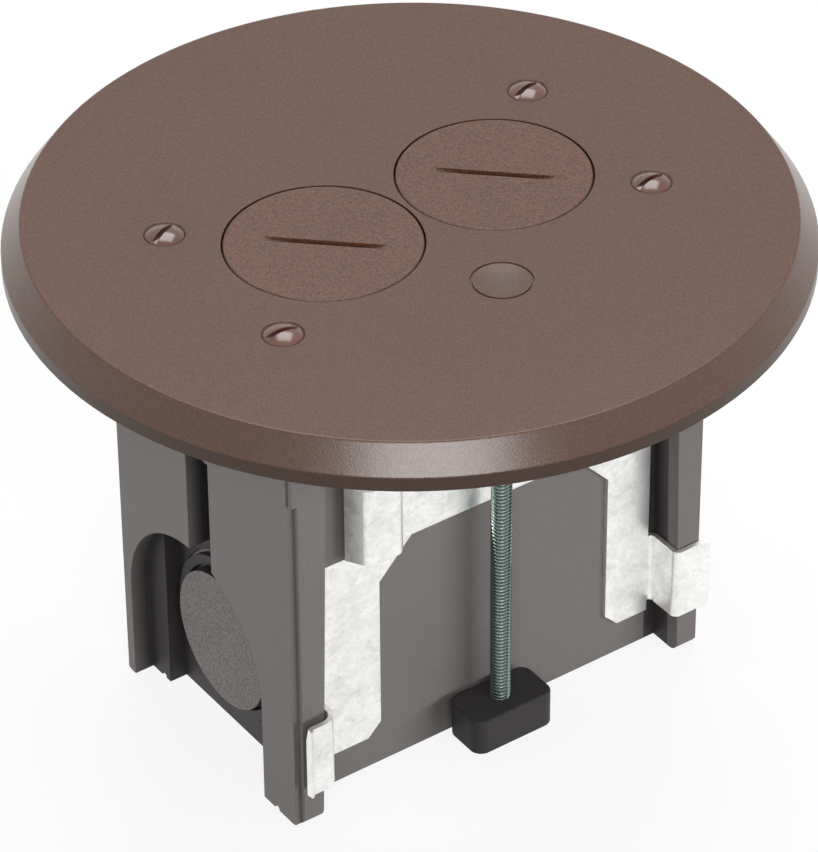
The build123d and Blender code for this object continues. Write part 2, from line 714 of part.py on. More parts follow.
def side_screw(x, z, seat, side, depth):
    """Slotted binding screw that enters the side of the receptacle along Y."""
    tip = seat - side * depth
    top = seat + side * terminal_head_height
    screw = bar_y(x, z, tip, seat, terminal_radius) + bar_y(x, z, seat, top, terminal_head_radius)
    slot_floor = top - side * terminal_slot_depth
    return screw - block(x - terminal_head_radius, x + terminal_head_radius, slot_floor, top + side * overcut,
                         z - terminal_slot_width / 2, z + terminal_slot_width / 2)


def terminal_screws(side):
    """Two binding screws of one pole."""
    seat = side * (receptacle_width / 2 + terminal_plate)
    depth = terminal_depth + terminal_plate - terminal_tip_gap
    pair = [side_screw(x, terminal_z, seat, side, depth) for x in (-terminal_x, terminal_x)]
    return Compound(children=[part.solid() for part in pair])


def ground_screw():
    """Green binding screw in the tab of the strap."""
    seat = -(receptacle_width / 2 + yoke_thickness)
    depth = terminal_depth + yoke_thickness - terminal_tip_gap
    return side_screw(ground_tab_x, ground_screw_z, seat, -1, depth)


def yoke_screws():
    """Two screws that hold the strap to the box."""
    screw = post(0, 0, yoke_top - yoke_screw_length, yoke_top, yoke_screw_radius)
    head = post(0, 0, yoke_top, yoke_top + yoke_screw_head_height, yoke_screw_head_radius)
    screw += fillet(head.edges().filter_by(GeomType.CIRCLE).group_by(Axis.Z)[-1], yoke_screw_head_round)
    screw -= block(-yoke_screw_head_radius, yoke_screw_head_radius, -yoke_slot_width / 2,
                   yoke_slot_width / 2, yoke_top + yoke_screw_head_height - yoke_slot_depth,
                   yoke_top + yoke_screw_head_height + overcut)
    return Compound(children=[(Pos(x, 0, 0) * screw).solid() for x in (-cover_screw_x, cover_screw_x)])


def receptacle_rivets():
    """Two rivets through face, strap and body."""
    group = []
    for y in (-rivet_y, rivet_y):
        rivet = post(0, y, body_bottom, face_base_top, rivet_radius)
        rivet += post(0, y, face_base_top, face_base_top + rivet_head_height, rivet_head_radius)
        rivet += post(0, y, body_bottom - rivet_head_height, body_bottom, rivet_head_radius)
        group.append(rivet.solid())
    return Compound(children=group)


def main():
    """Builds and writes every sub-part."""
    os.makedirs("parts", exist_ok=True)
    write("cover_plate", cover_plate())
    write("cover_gasket", cover_gasket())
    write("cover_screws", cover_screws())
    write("plug_cap_left", plug_cap(-plug_x))
    write("plug_cap_right", plug_cap(plug_x))
    write("plug_seal_left", plug_seal(-plug_x))
    write("plug_seal_right", plug_seal(plug_x))
    write("box_body", box_body())
    near_hook = (near_hook_stand, near_hook_short, near_hook_flare)
    far_hook = (far_hook_stand, far_hook_short, far_hook_flare)
    rear_hook = (far_hook_stand, rear_hook_short, rear_hook_flare)
    write("bracket_front", bracket(near_hook, far_hook, 0))
    write("bracket_rear", bracket(rear_hook, rear_hook, 180))
    write("clamp_screw_front", clamp_screw(0))
    write("clamp_screw_rear", clamp_screw(180))
    write("clamp_foot_front", clamp_foot(0))
    write("clamp_foot_rear", clamp_foot(180))
    write("receptacle_yoke", receptacle_yoke())
    write("receptacle_face", receptacle_face())
    write("receptacle_body", receptacle_body())
    write("hot_contact", line_contact(1))
    write("neutral_contact", line_contact(-1))
    write("ground_contact", ground_contact())
    write("hot_terminal_screws", terminal_screws(1))
    write("neutral_terminal_screws", terminal_screws(-1))
    write("ground_screw", ground_screw())
    write("yoke_screws", yoke_screws())
    write("receptacle_rivets", receptacle_rivets())


main()
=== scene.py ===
"""Looks for the floor socket box: finishes, threaded and slotted screws, camera, lights and stage."""

import logging
import math
from dataclasses import dataclass
from enum import Enum, auto
from typing import ClassVar

import bmesh
import bpy
from mathutils import Matrix, Vector


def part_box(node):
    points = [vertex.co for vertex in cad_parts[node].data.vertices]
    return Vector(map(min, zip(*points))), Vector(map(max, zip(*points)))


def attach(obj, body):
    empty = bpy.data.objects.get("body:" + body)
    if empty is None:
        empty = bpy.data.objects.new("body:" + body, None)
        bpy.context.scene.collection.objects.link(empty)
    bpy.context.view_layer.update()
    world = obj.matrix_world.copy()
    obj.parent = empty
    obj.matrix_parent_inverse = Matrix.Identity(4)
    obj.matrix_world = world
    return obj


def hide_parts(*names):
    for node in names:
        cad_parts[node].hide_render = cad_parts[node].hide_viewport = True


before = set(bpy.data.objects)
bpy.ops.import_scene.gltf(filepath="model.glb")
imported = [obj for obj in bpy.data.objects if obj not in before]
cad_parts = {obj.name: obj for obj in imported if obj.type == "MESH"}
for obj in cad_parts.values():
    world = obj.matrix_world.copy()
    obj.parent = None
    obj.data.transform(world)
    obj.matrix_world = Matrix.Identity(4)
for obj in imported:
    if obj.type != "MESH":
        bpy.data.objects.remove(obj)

LOG = logging.getLogger("floor_socket_box")
MM = 0.001
SAME_PLACE = 1e-7
FLOOR_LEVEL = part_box("cover_plate")[0].z
Colour = tuple[float, float, float]
Profile = list[tuple[float, float]]
Socket = bpy.types.NodeSocket
Signal = Socket | float


class Side(Enum):
    """The two long sides of the box: front is the one nearest the viewer."""

    FRONT = auto()
    REAR = auto()


def grey(tone: float) -> tuple[float, float, float, float]:
    """Returns an opaque grey."""
    return (tone, tone, tone, 1.0)


# Node trees

class TreeMaker:
    """Adds shader nodes to a tree and joins them."""

    def __init__(self, tree: bpy.types.NodeTree) -> None:
        """Keeps the tree that is being wired.

        Args:
            tree: the node tree of a group, a material or a world.
        """
        self.tree = tree

    def node(self, kind: str) -> bpy.types.Node:
        """Adds a node of that kind."""
        return self.tree.nodes.new(kind)

    def link(self, source: Socket, target: Socket) -> None:
        """Joins two sockets."""
        self.tree.links.new(source, target)

    def feed(self, value: Signal, target: Socket) -> None:
        """Joins a socket to the target, or sets a number there.

        Args:
            value: a socket or a number.
            target: the socket that takes it.
        """
        if isinstance(value, Socket):
            self.link(value, target)
        else:
            target.default_value = value

    def calc(self, operation: str, first: Signal, second: Signal = 0.0, clamp: bool = False) -> Socket:
        """Adds a Math node.

        Args:
            operation: Blender's name of the operation.
            first: a socket or a number.
            second: a socket or a number.
            clamp: True to keep the result between 0 and 1.

        Returns:
            The result socket.
        """
        node = self.node("ShaderNodeMath")
        node.operation = operation
        node.use_clamp = clamp
        self.feed(first, node.inputs[0])
        self.feed(second, node.inputs[1])
        return node.outputs[0]

    def ranged(self, value: Socket, low: float, high: float, start: float = 0.0, end: float = 1.0) -> Socket:
        """Stretches a value to a new range and holds it there.

        Args:
            value: the value's socket.
            low: the result where the value is at its start.
            high: the result where the value is at its end.
            start: the value that gives low.
            end: the value that gives high.

        Returns:
            The result socket.
        """
        node = self.node("ShaderNodeMapRange")
        for name, limit in (("From Min", start), ("From Max", end), ("To Min", low), ("To Max", high)):
            node.inputs[name].default_value = limit
        self.link(value, node.inputs["Value"])
        return node.outputs["Result"]

    def scaled(self, colour: Socket, gain: Socket) -> Socket:
        """Multiplies a colour by a number.

        Args:
            colour: the colour's socket.
            gain: the number's socket.

        Returns:
            The scaled colour's socket.
        """
        node = self.node("ShaderNodeVectorMath")
        node.operation = "SCALE"
        self.link(colour, node.inputs[0])
        self.link(gain, node.inputs["Scale"])
        return node.outputs["Vector"]

    def mixed(self, share: Signal, first: Socket, second: Socket) -> Socket:
        """Mixes two shaders.

        Args:
            share: the share of the second shader, a mask or a number.
            first: the first shader.
            second: the second shader.

        Returns:
            The mixed shader.
        """
        node = self.node("ShaderNodeMixShader")
        self.feed(share, node.inputs[0])
        self.link(first, node.inputs[1])
        self.link(second, node.inputs[2])
        return node.outputs[0]

    def object_place(self) -> Socket:
        """Returns the point's place on the object."""
        return self.node("ShaderNodeTexCoord").outputs["Object"]


class GroupMaker(TreeMaker):
    """Starts a shader node group and wires it."""

    def __init__(self, name: str) -> None:
        """Makes the empty group.

        Args:
            name: the group's plain name.
        """
        super().__init__(bpy.data.node_groups.new(name, "ShaderNodeTree"))
        self.source = self.node("NodeGroupInput")
        self.sink = self.node("NodeGroupOutput")

    def numbers_in(self, defaults: dict[str, float]) -> None:
        """Adds number inputs.

        Args:
            defaults: the default of each input by its name.
        """
        for name, default in defaults.items():
            socket = self.tree.interface.new_socket(name, in_out="INPUT", socket_type="NodeSocketFloat")
            socket.default_value = default

    def colour_in(self, name: str) -> None:
        """Adds a colour input."""
        self.tree.interface.new_socket(name, in_out="INPUT", socket_type="NodeSocketColor")

    def given(self, name: str) -> Socket:
        """Returns the value of one of the group's inputs."""
        return self.source.outputs[name]

    def put_out(self, name: str, value: Socket, kind: str = "NodeSocketFloat") -> None:
        """Adds an output.

        Args:
            name: the output's name.
            value: what it gives.
            kind: Blender's name of its type.
        """
        self.tree.interface.new_socket(name, in_out="OUTPUT", socket_type=kind)
        self.link(value, self.sink.inputs[name])

    def put_out_surface(self, gain: Socket, roughness: Socket, height: Socket) -> None:
        """Adds the three outputs of a texture.

        Args:
            gain: what the base colour is multiplied by.
            roughness: the surface's roughness.
            height: the surface's height for a bump.
        """
        self.put_out("Colour", self.scaled(self.given("Base"), gain), "NodeSocketColor")
        self.put_out("Roughness", roughness)
        self.put_out("Height", height)

    def noise(self, scale: Signal, detail: float, roughness: float) -> Socket:
        """Adds noise on Object coordinates.

        Args:
            scale: a socket or number, in cells per metre.
            detail: octaves.
            roughness: strength of the fine octaves.

        Returns:
            The noise value socket.
        """
        noise = self.node("ShaderNodeTexNoise")
        noise.inputs["Detail"].default_value = detail
        noise.inputs["Roughness"].default_value = roughness
        self.link(self.object_place(), noise.inputs["Vector"])
        self.feed(scale, noise.inputs["Scale"])
        return noise.outputs["Fac"]

    def axes(self) -> bpy.types.Node:
        """Splits the place on the object.

        Returns:
            A node with the outputs X, Y and Z.
        """
        parts = self.node("ShaderNodeSeparateXYZ")
        self.link(self.object_place(), parts.inputs[0])
        return parts


# Shared shader groups

@dataclass(frozen=True)
class MouldGrain:
    """Fine spark-eroded grain of moulded plastic: a colour, a roughness and a height."""

    cloud_cells: float = 38.0
    dark_noise: float = 0.34
    light_noise: float = 0.66
    cloud_in_roughness: float = 0.8

    def group(self) -> bpy.types.NodeTree:
        """Builds the group.

        Returns:
            The node group.
        """
        maker = GroupMaker("mould_grain")
        maker.colour_in("Base")
        maker.numbers_in({"Grain per metre": 2200.0, "Speckle": 0.2, "Cloud": 0.06, "Roughness": 0.45})
        fine = maker.noise(maker.given("Grain per metre"), detail=1.0, roughness=0.5)
        broad = maker.noise(self.cloud_cells, detail=3.0, roughness=0.5)
        sharp = maker.ranged(fine, -1.0, 1.0, self.dark_noise, self.light_noise)
        speckle = maker.calc("MULTIPLY", sharp, maker.given("Speckle"))
        cloud = maker.calc("MULTIPLY", maker.calc("SUBTRACT", broad, 0.5), maker.given("Cloud"))
        gain = maker.calc("ADD", maker.calc("ADD", speckle, cloud), 1.0)
        rough = maker.calc("ADD", maker.given("Roughness"), maker.calc("MULTIPLY", cloud, self.cloud_in_roughness))
        maker.put_out_surface(gain, rough, fine)
        return maker.tree


@dataclass(frozen=True)
class ZincSpangle:
    """Mottled crystals of hot-dipped zinc: a colour, a roughness and a height."""

    cloud_cells: float = 160.0
    streak_cells: float = 1500.0
    crystal_share: float = 0.35
    cloud_share: float = 2.2
    streak_share: float = 0.9
    mottle_in_roughness: float = -0.9
    streak_in_height: float = 0.4

    def group(self) -> bpy.types.NodeTree:
        """Builds the group.

        Returns:
            The node group.
        """
        maker = GroupMaker("zinc_spangle")
        maker.colour_in("Base")
        maker.numbers_in({"Cells per metre": 420.0, "Mottle": 0.16, "Roughness": 0.42})
        cells = maker.node("ShaderNodeTexVoronoi")
        cells.feature = "F1"
        maker.link(maker.object_place(), cells.inputs["Vector"])
        maker.link(maker.given("Cells per metre"), cells.inputs["Scale"])
        crystal = maker.node("ShaderNodeSeparateColor")
        maker.link(cells.outputs["Color"], crystal.inputs["Color"])
        cloud = maker.noise(self.cloud_cells, detail=5.0, roughness=0.7)
        streak = maker.noise(self.streak_cells, detail=2.0, roughness=0.6)
        tones = [maker.calc("MULTIPLY", maker.calc("SUBTRACT", source, 0.5), share)
                 for source, share in ((crystal.outputs["Red"], self.crystal_share), (cloud, self.cloud_share),
                                       (streak, self.streak_share))]
        tone = maker.calc("ADD", tones[0], maker.calc("ADD", tones[1], tones[2]))
        mottle = maker.calc("MULTIPLY", tone, maker.given("Mottle"))
        rough = maker.calc("ADD", maker.given("Roughness"), maker.calc("MULTIPLY", mottle, self.mottle_in_roughness))
        height = maker.calc("ADD", cloud, maker.calc("MULTIPLY", streak, self.streak_in_height))
        maker.put_out_surface(maker.calc("ADD", mottle, 1.0), rough, height)
        return maker.tree


@dataclass(frozen=True)
class LevelMask:
    """Mask that goes from 0 to 1 as the height passes a level."""

    blend: float = 0.3 * MM

    def group(self) -> bpy.types.NodeTree:
        """Builds the group.

        Returns:
            The node group.
        """
        maker = GroupMaker("level_mask")
        maker.numbers_in({"Level": FLOOR_LEVEL, "Blend": self.blend})
        over = maker.calc("SUBTRACT", maker.axes().outputs["Z"], maker.given("Level"))
        share = maker.calc("DIVIDE", over, maker.given("Blend"))
        maker.put_out("Mask", maker.calc("MINIMUM", maker.calc("MAXIMUM", share, 0.0), 1.0))
        return maker.tree


@dataclass(frozen=True)
class KnockoutMask:
    """Mask that is 1 on the two knockout discs in the ends of the box."""

    past_x: float = 42.5 * MM
    offset_y: float = 2.8 * MM
    middle_z: float = 22.0 * MM
    radius: float = 14.4 * MM

    def group(self) -> bpy.types.NodeTree:
        """Builds the group.

        Returns:
            The node group.
        """
        maker = GroupMaker("knockout_mask")
        maker.numbers_in({"Past X": self.past_x, "Offset Y": self.offset_y, "Middle Z": self.middle_z,
                          "Radius": self.radius})
        place = maker.axes().outputs
        end = maker.calc("SIGN", place["X"])
        across = maker.calc("ADD", maker.calc("MULTIPLY", place["Y"], end), maker.given("Offset Y"))
        above = maker.calc("SUBTRACT", place["Z"], maker.given("Middle Z"))
        squares = [maker.calc("MULTIPLY", leg, leg) for leg in (across, above)]
        span = maker.calc("SQRT", maker.calc("ADD", *squares))
        inside = maker.calc("LESS_THAN", span, maker.given("Radius"))
        outward = maker.calc("GREATER_THAN", maker.calc("ABSOLUTE", place["X"]), maker.given("Past X"))
        maker.put_out("Mask", maker.calc("MULTIPLY", inside, outward))
        return maker.tree


@dataclass(frozen=True)
class RecessShadeMask:
    """Mask that is 1 on the inner faces of the arches and slots in the ends of the box, where their colour is
    darkened as painted shade.
    """

    end_x: float = 47.9 * MM
    fade: float = 3.0 * MM
    wall_x: float = 40.0 * MM
    half_width: float = 27.5 * MM
    top_z: float = 70.2 * MM

    def group(self) -> bpy.types.NodeTree:
        """Builds the group.

        Returns:
            The node group.
        """
        maker = GroupMaker("recess_shade_mask")
        maker.numbers_in({"End X": self.end_x, "Fade": self.fade, "Wall X": self.wall_x,
                          "Half width": self.half_width, "Top Z": self.top_z})
        place = maker.axes().outputs
        span = maker.calc("ABSOLUTE", place["X"])
        deep = maker.calc("DIVIDE", maker.calc("SUBTRACT", maker.given("End X"), span), maker.given("Fade"))
        deep = maker.calc("MINIMUM", maker.calc("MAXIMUM", deep, 0.0), 1.0)
        outside = maker.calc("GREATER_THAN", span, maker.given("Wall X"))
        across = maker.calc("LESS_THAN", maker.calc("ABSOLUTE", place["Y"]), maker.given("Half width"))
        under = maker.calc("LESS_THAN", place["Z"], maker.given("Top Z"))
        zone = maker.calc("MULTIPLY", maker.calc("MULTIPLY", outside, across), under)
        maker.put_out("Mask", maker.calc("MULTIPLY", zone, deep))
        return maker.tree


GRAIN = MouldGrain().group()
SPANGLE = ZincSpangle().group()
LEVEL = LevelMask().group()
RECESS_SHADE_MASK = RecessShadeMask().group()
KNOCKOUT = KnockoutMask().group()


# Finishes

class MaterialMaker(TreeMaker):
    """Starts a node material and wires it."""

    def __init__(self, name: str) -> None:
        """Makes the material.

        Args:
            name: the material's plain name.
        """
        self.material = bpy.data.materials.new(name)
        self.material.use_nodes = True
        super().__init__(self.material.node_tree)
        self.shader = self.tree.nodes["Principled BSDF"]

    def placed(self, group: bpy.types.NodeTree) -> bpy.types.Node:
        """Adds one of the shared groups.

        Args:
            group: the shader group.

        Returns:
            The group's node.
        """
        node = self.node("ShaderNodeGroup")
        node.node_tree = group
        return node


@dataclass(frozen=True)
class Finish:
    """What every finish has: a name, a colour and a roughness."""

    name: str
    colour: Colour
    roughness: float

    def start(self) -> MaterialMaker:
        """Makes the node material.

        Returns:
            The material's maker.
        """
        maker = MaterialMaker(self.name)
        maker.shader.inputs["Base Color"].default_value = (*self.colour, 1.0)
        maker.shader.inputs["Roughness"].default_value = self.roughness
        return maker

    def textured(self, maker: MaterialMaker, group: bpy.types.NodeTree, values: dict[str, float],
                 bump_depth: float, bump_strength: float, soft_edge: float) -> bpy.types.Node:
        """Joins a texture group to the shader.

        Args:
            maker: the material being built.
            group: the texture group.
            values: numbers for the group's inputs.
            bump_depth: height of the bumps in metres.
            bump_strength: share of the bump that shows.
            soft_edge: radius in metres by which hard edges look rounded.

        Returns:
            The texture group's node.
        """
        texture = maker.placed(group)
        texture.inputs["Base"].default_value = (*self.colour, 1.0)
        for name, value in {"Roughness": self.roughness, **values}.items():
            texture.inputs[name].default_value = value
        maker.link(texture.outputs["Colour"], maker.shader.inputs["Base Color"])
        maker.link(texture.outputs["Roughness"], maker.shader.inputs["Roughness"])
        edge = maker.node("ShaderNodeBevel")
        edge.samples = 4
        edge.inputs["Radius"].default_value = soft_edge
        bump = maker.node("ShaderNodeBump")
        bump.inputs["Strength"].default_value = bump_strength
        bump.inputs["Distance"].default_value = bump_depth
        maker.link(texture.outputs["Height"], bump.inputs["Height"])
        maker.link(edge.outputs["Normal"], bump.inputs["Normal"])
        maker.link(bump.outputs["Normal"], maker.shader.inputs["Normal"])
        return texture


@dataclass(frozen=True)
class MouldedPlastic(Finish):
    """Moulded plastic with a fine grain."""

    grain: float = 2200.0
    speckle: float = 0.2
    cloud: float = 0.06
    depth: float = 0.06 * MM
    strength: float = 0.5
    specular: float = 0.5
    soft_edge: float = 0.25 * MM

    def material(self) -> bpy.types.Material:
        """Builds the finish.

        Returns:
            The material.
        """
        maker = self.start()
        maker.shader.inputs["Specular IOR Level"].default_value = self.specular
        values = {"Grain per metre": self.grain, "Speckle": self.speckle, "Cloud": self.cloud}
        texture = self.textured(maker, GRAIN, values, self.depth, self.strength, self.soft_edge)
        self.local_detail(maker, texture)
        return maker.material

    def local_detail(self, maker: MaterialMaker, texture: bpy.types.Node) -> None:
        """Adds what only one place of a piece shows; a plain moulding has none."""


@dataclass(frozen=True)
class CoverPlastic(MouldedPlastic):
    """Grained cover of one colour, with painted shade darkening its upright rim and its bevel; the bevel is also
    glossier.
    """

    rim_top: float = 2.6 * MM
    # painted shade: share of the colour kept on the rim, then on the bevel
    rim_shade_share: float = 0.42
    bevel_top: float = 7.6 * MM
    bevel_shade_share: float = 0.72
    bevel_coat: float = 0.45
    bevel_coat_roughness: float = 0.26

    def above(self, maker: MaterialMaker, height: float) -> Socket:
        """Masks what lies above a height.

        Args:
            maker: the material being built.
            height: the height over the floor that the cover lies on.

        Returns:
            The mask's socket.
        """
        level = maker.placed(LEVEL)
        level.inputs["Level"].default_value = FLOOR_LEVEL + height
        return level.outputs["Mask"]

    def local_detail(self, maker: MaterialMaker, texture: bpy.types.Node) -> None:
        """Paints shade on the rim and the bevel by darkening their colour, and gives the bevel its gloss.

        Args:
            maker: the material being built.
            texture: its grain.
        """
        over_rim, over_bevel = (self.above(maker, height) for height in (self.rim_top, self.bevel_top))
        # painted shade: the colour drops to the rim share below the rim top and to the bevel share on the bevel, and
        # the flat keeps its full colour
        share = maker.calc("ADD", maker.ranged(over_rim, self.rim_shade_share, self.bevel_shade_share),
                           maker.ranged(over_bevel, 0.0, 1.0 - self.bevel_shade_share))
        bevel = maker.calc("SUBTRACT", over_rim, over_bevel, clamp=True)
        maker.link(maker.scaled(texture.outputs["Colour"], share), maker.shader.inputs["Base Color"])
        maker.link(maker.ranged(bevel, 0.0, self.bevel_coat), maker.shader.inputs["Coat Weight"])
        maker.shader.inputs["Coat Roughness"].default_value = self.bevel_coat_roughness


@dataclass(frozen=True)
class BoxPlastic(MouldedPlastic):
    """Smooth grey moulding with sandy knockout discs, and painted shade darkening the recesses in its ends."""

    sand: float = 2600.0
    sand_tone: float = 0.36
    recess_shade_share: float = 0.25

    def local_detail(self, maker: MaterialMaker, texture: bpy.types.Node) -> None:
        """Gives the knockout discs their sandy grain and paints shade in the recesses by darkening their colour.

        Args:
            maker: the material being built.
            texture: its grain.
        """
        disc = maker.placed(KNOCKOUT).outputs["Mask"]
        maker.link(maker.ranged(disc, self.speckle, self.sand_tone), texture.inputs["Speckle"])
        maker.link(maker.ranged(disc, self.grain, self.sand), texture.inputs["Grain per metre"])
        # painted shade: the recess faces, but not the knockout discs, darken to a quarter of the colour
        painted_recess_shade = maker.calc("SUBTRACT", maker.placed(RECESS_SHADE_MASK).outputs["Mask"], disc, clamp=True)
        shade = maker.scaled(texture.outputs["Colour"], maker.ranged(painted_recess_shade, 1.0, self.recess_shade_share))
        maker.link(shade, maker.shader.inputs["Base Color"])


@dataclass(frozen=True)
class ZincSheet(Finish):
    """Galvanised or plated steel with a mottled surface."""

    cells: float = 420.0
    mottle: float = 0.16
    metal: float = 1.0
    depth: float = 0.02 * MM
    strength: float = 0.35
    soft_edge: float = 0.12 * MM

    def material(self) -> bpy.types.Material:
        """Builds the finish.

        Returns:
            The material.
        """
        maker = self.start()
        maker.shader.inputs["Metallic"].default_value = self.metal
        values = {"Cells per metre": self.cells, "Mottle": self.mottle}
        self.textured(maker, SPANGLE, values, self.depth, self.strength, self.soft_edge)
        return maker.material


@dataclass(frozen=True)
class Enamel(Finish):
    """Glossy coloured coat on a metal screw."""

    coat: float = 0.6
    coat_roughness: float = 0.12
    grain: float = 900.0
    speckle: float = 0.05
    cloud: float = 0.2
    depth: float = 0.01 * MM
    strength: float = 0.2
    soft_edge: float = 0.1 * MM

    def material(self) -> bpy.types.Material:
        """Builds the finish.

        Returns:
            The material.
        """
        maker = self.start()
        maker.shader.inputs["Coat Weight"].default_value = self.coat
        maker.shader.inputs["Coat Roughness"].default_value = self.coat_roughness
        values = {"Grain per metre": self.grain, "Speckle": self.speckle, "Cloud": self.cloud}
        self.textured(maker, GRAIN, values, self.depth, self.strength, self.soft_edge)
        return maker.material


class Palette(Enum):
    """Every finish on the object."""

    COVER = CoverPlastic("cover_brown", (0.096, 0.042, 0.024), 0.30, grain=2900.0, speckle=0.26, cloud=0.06,
                         depth=0.036 * MM, strength=1.0, specular=0.38)
    PLUG = MouldedPlastic("plug_brown", (0.108, 0.044, 0.024), 0.30, grain=2500.0, speckle=0.40, cloud=0.08,
                          depth=0.048 * MM, strength=1.0, specular=0.38)
    BOX = BoxPlastic("box_grey", (0.158, 0.145, 0.141), 0.50, grain=2400.0, speckle=0.05, cloud=0.12,
                     depth=0.025 * MM, strength=0.4, specular=0.20)
    FOOT = MouldedPlastic("foot_grey", (0.040, 0.037, 0.037), 0.50, grain=1600.0, speckle=0.08, cloud=0.15,
                          depth=0.03 * MM, strength=0.4, specular=0.12)
    DEVICE = MouldedPlastic("device_black", (0.030, 0.028, 0.027), 0.45, grain=1800.0, speckle=0.08, cloud=0.10,
                            depth=0.03 * MM, strength=0.4)
    FACE = MouldedPlastic("face_brown", (0.130, 0.075, 0.056), 0.38, grain=1600.0, speckle=0.06, cloud=0.08,
                          depth=0.02 * MM, strength=0.3)
    SEAL = MouldedPlastic("seal_rubber", (0.022, 0.022, 0.022), 0.75, grain=1300.0, speckle=0.12, cloud=0.15,
                          depth=0.04 * MM, strength=0.5)
    GASKET = MouldedPlastic("gasket_foam", (0.030, 0.030, 0.030), 0.88, grain=700.0, speckle=0.25, cloud=0.20,
                            depth=0.12 * MM, strength=0.7)
    GALVANISED = ZincSheet("galvanised_steel", (0.90, 0.895, 0.875), 0.40, cells=900.0, mottle=0.30, metal=0.92)
    STRAP = ZincSheet("plated_strap", (0.76, 0.76, 0.74), 0.32, cells=600.0, mottle=0.08)
    ZINC = ZincSheet("zinc_screw", (0.26, 0.32, 0.305), 0.14, cells=500.0, mottle=0.12)
    BRASS = ZincSheet("brass_strip", (0.80, 0.62, 0.28), 0.30, cells=500.0, mottle=0.08)
    ENAMEL = Enamel("screw_enamel", (0.105, 0.038, 0.024), 0.22, coat=0.35)
    GREEN = Enamel("ground_green", (0.030, 0.260, 0.100), 0.35)


Materials = dict[Palette, bpy.types.Material]


# Mesh helpers

def lathe(points: Profile, steps: int) -> bmesh.types.BMesh:
    """Turns a profile about Z.

    Args:
        points: radius and height of each profile point, from axis to axis.
        steps: faces round the circle.

    Returns:
        A closed bmesh.
    """
    work = bmesh.new()
    ring = [work.verts.new((radius, 0.0, height)) for radius, height in points]
    edges = [work.edges.new(pair) for pair in zip(ring, ring[1:])]
    bmesh.ops.spin(work, geom=ring + edges, cent=(0, 0, 0), axis=(0, 0, 1), angle=math.tau, steps=steps,
                   use_merge=True)
    bmesh.ops.remove_doubles(work, verts=work.verts, dist=SAME_PLACE)
    bmesh.ops.recalc_face_normals(work, faces=work.faces)
    return work


def into_object(work: bmesh.types.BMesh, name: str, material: bpy.types.Material | None = None,
                smooth_deg: float = 35.0) -> bpy.types.Object:
    """Turns a bmesh into an object of the scene.

    Args:
        work: the finished bmesh, freed here.
        name: the piece's name.
        material: its finish, or None for a piece that only shapes another.
        smooth_deg: edges flatter than this look smooth.

    Returns:
        The new object, at the origin.
    """
    mesh = bpy.data.meshes.new(name)
    work.normal_update()
    for edge in work.edges:
        edge.smooth = edge.is_manifold and edge.calc_face_angle(0.0) < math.radians(smooth_deg)
    for face in work.faces:
        face.smooth = True
    work.to_mesh(mesh)
    work.free()
    if material:
        mesh.materials.append(material)
    piece = bpy.data.objects.new(name, mesh)
    bpy.context.scene.collection.objects.link(piece)
    return piece


def slotted(work: bmesh.types.BMesh, width: float, depth: float, crown: float, reach: float) -> bmesh.types.BMesh:
    """Cuts a straight screwdriver slot along X.

    Args:
        work: the head, freed here.
        width: slot width in metres.
        depth: slot depth below the crown.
        crown: height of the head's crown.
        reach: half the cutter's length.

    Returns:
        A new bmesh with the slot.
    """
    floor = crown - depth
    lid = crown + MM
    head = into_object(work, "head_blank")
    tool = bmesh.new()
    bmesh.ops.create_cube(tool, size=1.0)
    bmesh.ops.scale(tool, vec=(2 * reach, width, lid - floor), verts=tool.verts)
    bmesh.ops.translate(tool, vec=(0, 0, (lid + floor) / 2), verts=tool.verts)
    cutter = into_object(tool, "slot_cutter")
    cut = head.modifiers.new("slot", "BOOLEAN")
    cut.operation = "DIFFERENCE"
    cut.solver = "EXACT"
    cut.object = cutter
    bpy.context.view_layer.update()
    baked = bpy.data.meshes.new_from_object(head.evaluated_get(bpy.context.evaluated_depsgraph_get()))
    result = bmesh.new()
    result.from_mesh(baked)
    for leftover in (head, cutter):
        bpy.data.objects.remove(leftover, do_unlink=True)
    bpy.data.meshes.remove(baked)
    bmesh.ops.remove_doubles(result, verts=result.verts, dist=SAME_PLACE)
    return result


def arc_profile(radius: float, rise: float, base: float, steps: int) -> Profile:
    """Draws the profile of a dome.

    Args:
        radius: radius of its rim.
        rise: height of the crown over the rim.
        base: height of the rim.
        steps: points along the dome.

    Returns:
        Radius and height pairs from rim to crown.
    """
    ball = (radius * radius + rise * rise) / (2 * rise)
    spread = math.asin(radius / ball)
    angles = [spread * (1 - step / steps) for step in range(steps + 1)]
    return [(ball * math.sin(a), base + rise - ball + ball * math.cos(a)) for a in angles]


def join(parts: list[bmesh.types.BMesh]) -> bmesh.types.BMesh:
    """Puts several bmeshes into one.

    Args:
        parts: the bmeshes, freed here.

    Returns:
        One bmesh with all of them.
    """
    whole = bmesh.new()
    for part in parts:
        mesh = bpy.data.meshes.new("part")
        part.to_mesh(mesh)
        part.free()
        whole.from_mesh(mesh)
        bpy.data.meshes.remove(mesh)
    return whole


# Screws

